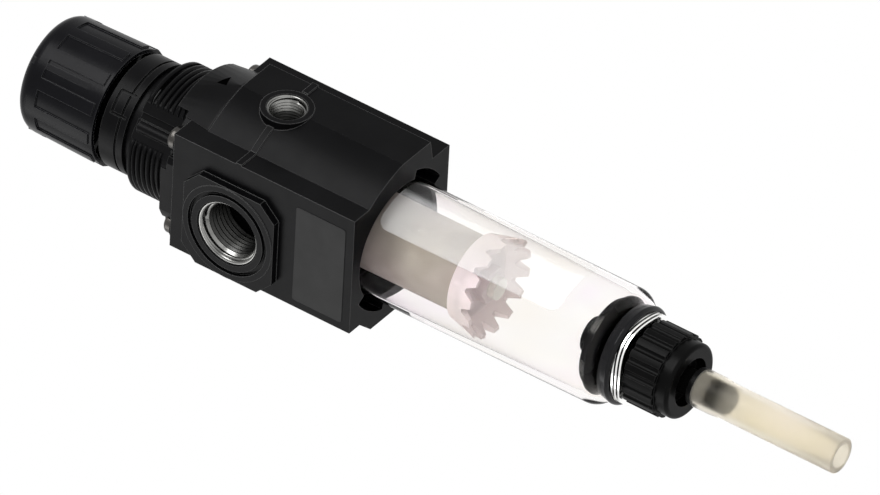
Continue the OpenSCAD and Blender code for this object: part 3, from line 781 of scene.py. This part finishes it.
def neck_thread():
    """The panel thread in arcs with tapered ends, and the plain ring above it."""
    slack = 0.1  # pitches by which the last turn may run out of the thread's range
    low, high = NECK_RANGE
    points, faces = [], []
    for a0, a1 in NECK_SPANS:
        turn = 0
        while low + NECK_PITCH * (turn - slack + a1 / 360) <= high:
            start = low + NECK_PITCH * turn
            arc_bar(points, faces, a0, a1, lambda angle, fade: neck_ridge(start, angle, fade))
            turn += 1
        arc_bar(points, faces, a0, a1, lambda angle, fade: neck_land(fade))
    piece("neck_thread", points, faces, "housing", MOULDED)


for side, label in ((-1, "inlet"), (1, "outlet")):
    port = facing((side, 0, 0), (side * PORT_FACE, PORT_Y, 0))
    thread_sleeve(label + "_thread", port, **PORT_THREAD)
thread_sleeve("gauge_thread", facing((0, -1, 0), (0, -GAUGE_FACE, GAUGE_Z)), **GAUGE_THREAD)
neck_thread()


# ---------- Bowl ----------


def clear_bowl():
    """The bowl: an open neck with its ring groove, a slight taper and a round foot."""
    inner_r = BOWL_R - BOWL_WALL
    foot_c = BOWL_FOOT_R - BOWL_ROUND
    foot_z = BOWL_BOTTOM + BOWL_ROUND
    groove_r = BOWL_R - SEAL_GROOVE
    groove_top = SEAL_Z + SEAL_GROOVE
    groove_foot = SEAL_Z - SEAL_GROOVE
    hole_r = SHANK_R + GAP
    profile = (
        [(inner_r, BOWL_TOP), (BOWL_R - BOWL_EDGE, BOWL_TOP), (BOWL_R, BOWL_TOP - BOWL_EDGE)]
        + [(BOWL_R, groove_top), (groove_r, groove_top), (groove_r, groove_foot)]
        + [(BOWL_R, groove_foot), (BOWL_R, BOWL_TAPER_TOP)]
        + arc(foot_c, foot_z, BOWL_ROUND, 0, -90, steps=14)
        + [(hole_r, BOWL_BOTTOM), (hole_r, BOWL_BOTTOM + BOWL_WALL)]
        + arc(foot_c, foot_z, BOWL_ROUND - BOWL_WALL, -90, 0, steps=14)
    )
    obj = lathe("clear_bowl", profile, "bowl", BOWL, segments=192)
    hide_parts("bowl")


def lug(name, centre):
    """A bayonet lug on the bowl's neck, sunk a little into the wall."""
    low, high = LUG_Z, LUG_Z + LUG_T
    profile = [(BOWL_R - SUNK, low), (LUG_R, low), (LUG_R, high), (BOWL_R - SUNK, high)]
    start = centre - LUG_SPAN / 2
    sweep(name, profile, start, start + LUG_SPAN, "bowl", BOWL, steps=16, smooth=False)


def bowl_film():
    """A thin bare film with round corners, wrapped on the bowl."""
    rows, columns = 40, 30
    a0, a1 = FILM_ANGLES
    z0, z1 = FILM_HEIGHTS
    r = BOWL_R + SKIN_LIFT
    points = []
    for out in (r, r + FILM_T):
        for i in range(rows + 1):
            z = z0 + (z1 - z0) * (1 - math.cos(math.pi * i / rows)) / 2
            near = max(0.0, FILM_CORNER - min(z - z0, z1 - z))
            round_off = FILM_CORNER - math.sqrt(max(FILM_CORNER * FILM_CORNER - near * near, 0.0))
            inset = math.degrees(round_off / r)
            for j in range(columns + 1):
                a = math.radians(a0 + inset + (a1 - a0 - 2 * inset) * j / columns)
                points.append((out * math.cos(a), out * math.sin(a), z))
    wide = columns + 1
    outer = wide * (rows + 1)
    faces = joined(rows + 1, wide, closed=False, turned_over=True)
    faces += joined(rows + 1, wide, first=outer, closed=False)
    rim = list(range(columns)) + [i * wide + columns for i in range(rows)]
    rim += [rows * wide + j for j in range(columns, 0, -1)] + [i * wide for i in range(rows, 0, -1)]
    for here, there in zip(rim, rim[1:] + rim[:1]):
        faces.append((here, outer + here, outer + there, there))
    piece("bowl_film", points, faces, "bowl", FILM)


clear_bowl()
lug("bowl_lug_front", LUG_ANGLE)
lug("bowl_lug_rear", LUG_ANGLE + 180)
bowl_film()


# ---------- Hose ----------


def hose():
    """The hose: wide over the barb, close round the stem, and below that its own bore."""
    sleeve_r = STEM_R + GAP
    profile = (
        [(sleeve_r, TUBE_TOP), (TUBE_R + HOSE_EDGE, TUBE_TOP)]
        + [(TUBE_R + HOSE_FLARE[0][0], TUBE_TOP - HOSE_TOP_EDGE)]
        + [(TUBE_R + wider, BARB_END + above) for wider, above in HOSE_FLARE]
        + [(TUBE_R, TUBE_END + HOSE_EDGE), (TUBE_R - HOSE_EDGE, TUBE_END)]
        + [(TUBE_BORE + HOSE_BORE_EDGE, TUBE_END), (TUBE_BORE, TUBE_END + HOSE_BORE_EDGE)]
        + [(TUBE_BORE, BARB_END - HOSE_BORE_FROM), (sleeve_r, BARB_END - HOSE_STEM_TO)]
    )
    obj = lathe("hose", profile, "drain_stem", TUBE, segments=128)
    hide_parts("drain_tube")


hose()


# ---------- Wire rings above the drain nut ----------


def wave_spring():
    """Flat wire in waves, one loop on another, as on a crest-to-crest spring."""
    steps = 180  # in a loop
    corners = 4  # of the wire's outline
    inner, outer = WAVE_R
    room = WAVE_TOP - NUT_TOP - WAVE_T
    wave = room / WAVE_LOOPS * WAVE_SHARE
    count = int(steps * WAVE_LOOPS)
    points = []
    for i in range(count + 1):
        a = 2 * math.pi * i / steps
        swell = wave * math.sin(WAVES * a + math.pi * (i // steps))
        low = min(max(NUT_TOP + room * i / count + swell, NUT_TOP), WAVE_TOP - WAVE_T)
        high = low + WAVE_T
        points += round_axis([(inner, low), (outer, low), (outer, high), (inner, high)], a)
    faces = joined(count + 1, corners) + ends(count + 1, corners)
    obj = piece("wave_spring", points, faces, "bowl", WIRE, smooth=False)
    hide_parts("drain_spring")


wave_spring()


# ---------- Springs and diaphragm ---------------------------------------------


def coil(name, finish, r, wire, foot, top, turns, sides):
    """An open wire coil, as a closed tube."""
    turn_steps = 24
    steps = int(turns * turn_steps)
    points = []
    for i in range(steps + 1):
        middle = foot + wire / 2 + (top - foot - wire) * i / steps
        outline = []
        for j in range(sides):
            b = 2 * math.pi * (j + 0.5) / sides
            outline.append((r + wire / 2 * math.cos(b), middle + wire / 2 * math.sin(b)))
        points += round_axis(outline, 2 * math.pi * i / turn_steps)
    faces = joined(steps + 1, sides, turned_over=True) + ends(steps + 1, sides)
    return piece(name, points, faces, "housing", finish)


def give(obj, node):
    """Lets a coil stand for its node, on a mesh of its own."""
    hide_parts(node)
    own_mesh(obj)


main_coil = coil(
    "main_coil", SPRING, MAIN_R, MAIN_WIRE, MAIN_FOOT, MAIN_TOP, MAIN_TURNS, sides=10
)
give(main_coil, "regulating_spring")
valve_coil = coil(
    "valve_coil", WIRE, VALVE_R, VALVE_WIRE, VALVE_FOOT, VALVE_TOP, VALVE_TURNS, sides=8
)
give(valve_coil, "valve_spring")


def diaphragm():
    """The diaphragm: a flat middle that moves, and a roll that bends out to the clamped rim.

    The roll is made in sectors, each a sweep of the same profile.
    """
    low, high = DIAPHRAGM_Z, DIAPHRAGM_Z + DIAPHRAGM_T
    roll = (
        arc(ROLL_C, low, ROLL_OUT, 180, ROLL_END, steps=14)
        + [(DIAPHRAGM_R, high), (DIAPHRAGM_R, low), (ROLL_C + ROLL_IN, low)]
        + arc(ROLL_C, low, ROLL_IN, 0, 180, steps=12)
    )
    span = 360 / ROLL_SECTORS
    for k in range(ROLL_SECTORS):
        centre = span * k
        start, end = centre - span / 2, centre + span / 2
        fold = sweep(f"diaphragm_roll_{k}", roll, start, end, None, RUBBER, steps=5)
        if k == 0:
            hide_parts("diaphragm")
        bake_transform(fold)
    flat_r = ROLL_C - ROLL_OUT - SKIN_LIFT
    flat = [(DIAPHRAGM_BORE, low), (flat_r, low), (flat_r, high), (DIAPHRAGM_BORE, high)]
    middle = lathe("diaphragm_middle", flat, "valve", RUBBER, segments=96)


diaphragm()


# ---------- Label panel and flow mark ----------


def label_panel():
    """A bare plate with round corners on the inlet side of the casting."""
    y0, y1 = LABEL_Y
    z0, z1 = LABEL_Z
    corner = LABEL_CORNER
    outline = []
    for y, z, start in (
        (y1 - corner, z1 - corner, 0),
        (y0 + corner, z1 - corner, 90),
        (y0 + corner, z0 + corner, 180),
        (y1 - corner, z0 + corner, 270),
    ):
        outline += arc(y, z, corner, start, start + 90, steps=6)
    points = [(SUNK - HALF_W, y, z) for y, z in outline]
    points += [(-HALF_W - LABEL_T, y, z) for y, z in outline]
    count = len(outline)
    faces = joined(2, count, turned_over=True) + ends(2, count)
    piece("label_panel", points, faces, "housing", LABEL, smooth=False)


def on_surface(node, x, z, depth):
    """The point and normal on a CAD node met when looking along +Y at x and z, or None."""
    start = Vector((x * MM, -depth * MM, z * MM))
    hit, point, normal, _ = nodes[node].ray_cast(start, Vector((0, 1, 0)))
    return (point / MM, normal) if hit else None


def flow_mark():
    """A small triangle on the bonnet's front that points from inlet to outlet.

    It is left off where the bonnet has no face to carry it.
    """
    tip, back_high, back_low = (Vector(corner) for corner in MARK_CORNERS)
    steps = 8
    start_depth = 40  # in front of the bonnet
    points, faces, index = [], [], {}
    for i in range(steps + 1):
        for j in range(steps + 1 - i):
            flat = tip + (back_high - tip) * i / steps + (back_low - tip) * j / steps
            found = on_surface("bonnet", flat.x, flat.y, start_depth)
            if not found:
                return
            point, normal = found
            index[i, j] = len(points)
            points.append(point + normal.normalized() * MARK_LIFT)
    for i in range(steps):
        for j in range(steps - i):
            faces.append((index[i, j], index[i + 1, j], index[i, j + 1]))
            if j < steps - i - 1:
                faces.append((index[i + 1, j], index[i + 1, j + 1], index[i, j + 1]))
    thicken(piece("flow_mark", points, faces, "housing", MARK))


label_panel()
flow_mark()


# ---------- Camera ----------

# A long lens, below and to the front left of the part
ACROSS = Vector((0.5895, -0.0431, -0.8065)).normalized()
UPWARD = Vector((-0.647, -0.622, -0.440)).cross(ACROSS).normalized()
TO_CAMERA = ACROSS.cross(UPWARD)
DISTANCE = 5.0  # metres
VIEW_WIDTH = 219.5  # seen across the picture
SENSOR = 36.0  # width
MIDDLE_Z = -49.2
AIM_UP = 2.92  # how far the picture's centre lies off that point of the axis
AIM_ACROSS = 0.3
AIM = Vector((0, 0, MIDDLE_Z)) + UPWARD * AIM_UP + ACROSS * AIM_ACROSS

camera = bpy.data.cameras.new("camera")
camera.sensor_width = SENSOR
camera.lens = SENSOR * DISTANCE / (VIEW_WIDTH * MM)
camera_obj = added("camera", camera)
rotation = Matrix((ACROSS, UPWARD, TO_CAMERA)).transposed().to_4x4()
camera_obj.matrix_world = Matrix.Translation(AIM * MM + TO_CAMERA * DISTANCE) @ rotation
bpy.context.scene.camera = camera_obj


# ---------- White room ----------

ROOM_LIGHT = 0.5  # strength with which the white world lights the part
FLOOR_GLOW = 0.45
FLOOR_HALF = 1.5  # metres
FLOOR_GAP = 0.5  # under the hose's end


def by_ray(tree, path, lit, seen):
    """Seen where the camera, a mirror or glass looks, and lit where light is gathered."""
    looks = [path.outputs[f"Is {kind} Ray"] for kind in ("Camera", "Glossy", "Transmission")]
    return mapped(tree, combined(tree, "MAXIMUM", *looks), result=(lit, seen))


def white_world():
    """A white background that lights the part more softly than it looks."""
    world = bpy.data.worlds.new("studio")
    bpy.context.scene.world = world
    world.use_nodes = True
    tree = world.node_tree
    background = tree.nodes["Background"]
    background.inputs["Color"].default_value = (1, 1, 1, 1)
    strength = by_ray(tree, tree.nodes.new("ShaderNodeLightPath"), lit=ROOM_LIGHT, seen=1.0)
    tree.links.new(strength, background.inputs["Strength"])


def floor_finish():
    """A pale floor, solid from above and open from below, where the camera stands."""
    mat, tree, bsdf = principled("pale_floor")
    bsdf.inputs["Base Color"].default_value = (0.9, 0.9, 0.9, 1)
    bsdf.inputs["Roughness"].default_value = 0.7
    bsdf.inputs["Emission Color"].default_value = (1, 1, 1, 1)
    path = tree.nodes.new("ShaderNodeLightPath")
    glow = by_ray(tree, path, lit=0.0, seen=FLOOR_GLOW)
    tree.links.new(glow, bsdf.inputs["Emission Strength"])
    geometry = tree.nodes.new("ShaderNodeNewGeometry")
    passing = [path.outputs["Is Shadow Ray"], path.outputs["Is Transmission Ray"]]
    is_open = combined(tree, "MAXIMUM", geometry.outputs["Backfacing"], *passing)
    through = tree.nodes.new("ShaderNodeBsdfTransparent")
    either = tree.nodes.new("ShaderNodeMixShader")
    tree.links.new(is_open, either.inputs[0])
    tree.links.new(bsdf.outputs[0], either.inputs[1])
    tree.links.new(through.outputs[0], either.inputs[2])
    tree.links.new(either.outputs[0], tree.nodes["Material Output"].inputs["Surface"])
    return mat


def floor():
    """A square floor just under the hose."""
    half = FLOOR_HALF
    z = (TUBE_END - FLOOR_GAP) * MM
    corners = [(-half, -half, z), (half, -half, z), (half, half, z), (-half, half, z)]
    mesh = bpy.data.meshes.new("floor")
    mesh.from_pydata(corners, [], [(0, 1, 2, 3)])
    mesh.materials.append(floor_finish())
    added("floor", mesh)


white_world()
floor()


# ---------- Lamps ----------

LAMP_DISTANCE = 0.9  # metres


def softbox(name, direction, size, power):
    """An area lamp that looks at the part from a direction, with its size in metres."""
    lamp = bpy.data.lights.new(name, "AREA")
    lamp.shape = "RECTANGLE"
    lamp.size, lamp.size_y = size
    lamp.energy = power
    obj = added(name, lamp)
    way = direction.normalized()
    turn = way.to_track_quat("Z", "Y").to_matrix().to_4x4()
    obj.matrix_world = Matrix.Translation(AIM * MM + way * LAMP_DISTANCE) @ turn


key_way = UPWARD * 0.62 - ACROSS * 0.5 + TO_CAMERA * 0.55
fill_way = -UPWARD * 0.6 - ACROSS * 0.75 - TO_CAMERA * 0.1
low_way = -UPWARD * 0.8 + TO_CAMERA * 0.6 + ACROSS * 0.3
softbox("key", key_way, size=(0.55, 0.4), power=7.5)
softbox("fill", fill_way, size=(0.5, 0.5), power=2.6)
softbox("low", low_way, size=(0.8, 0.8), power=1.2)

bpy.context.scene.view_settings.view_transform = "Standard"
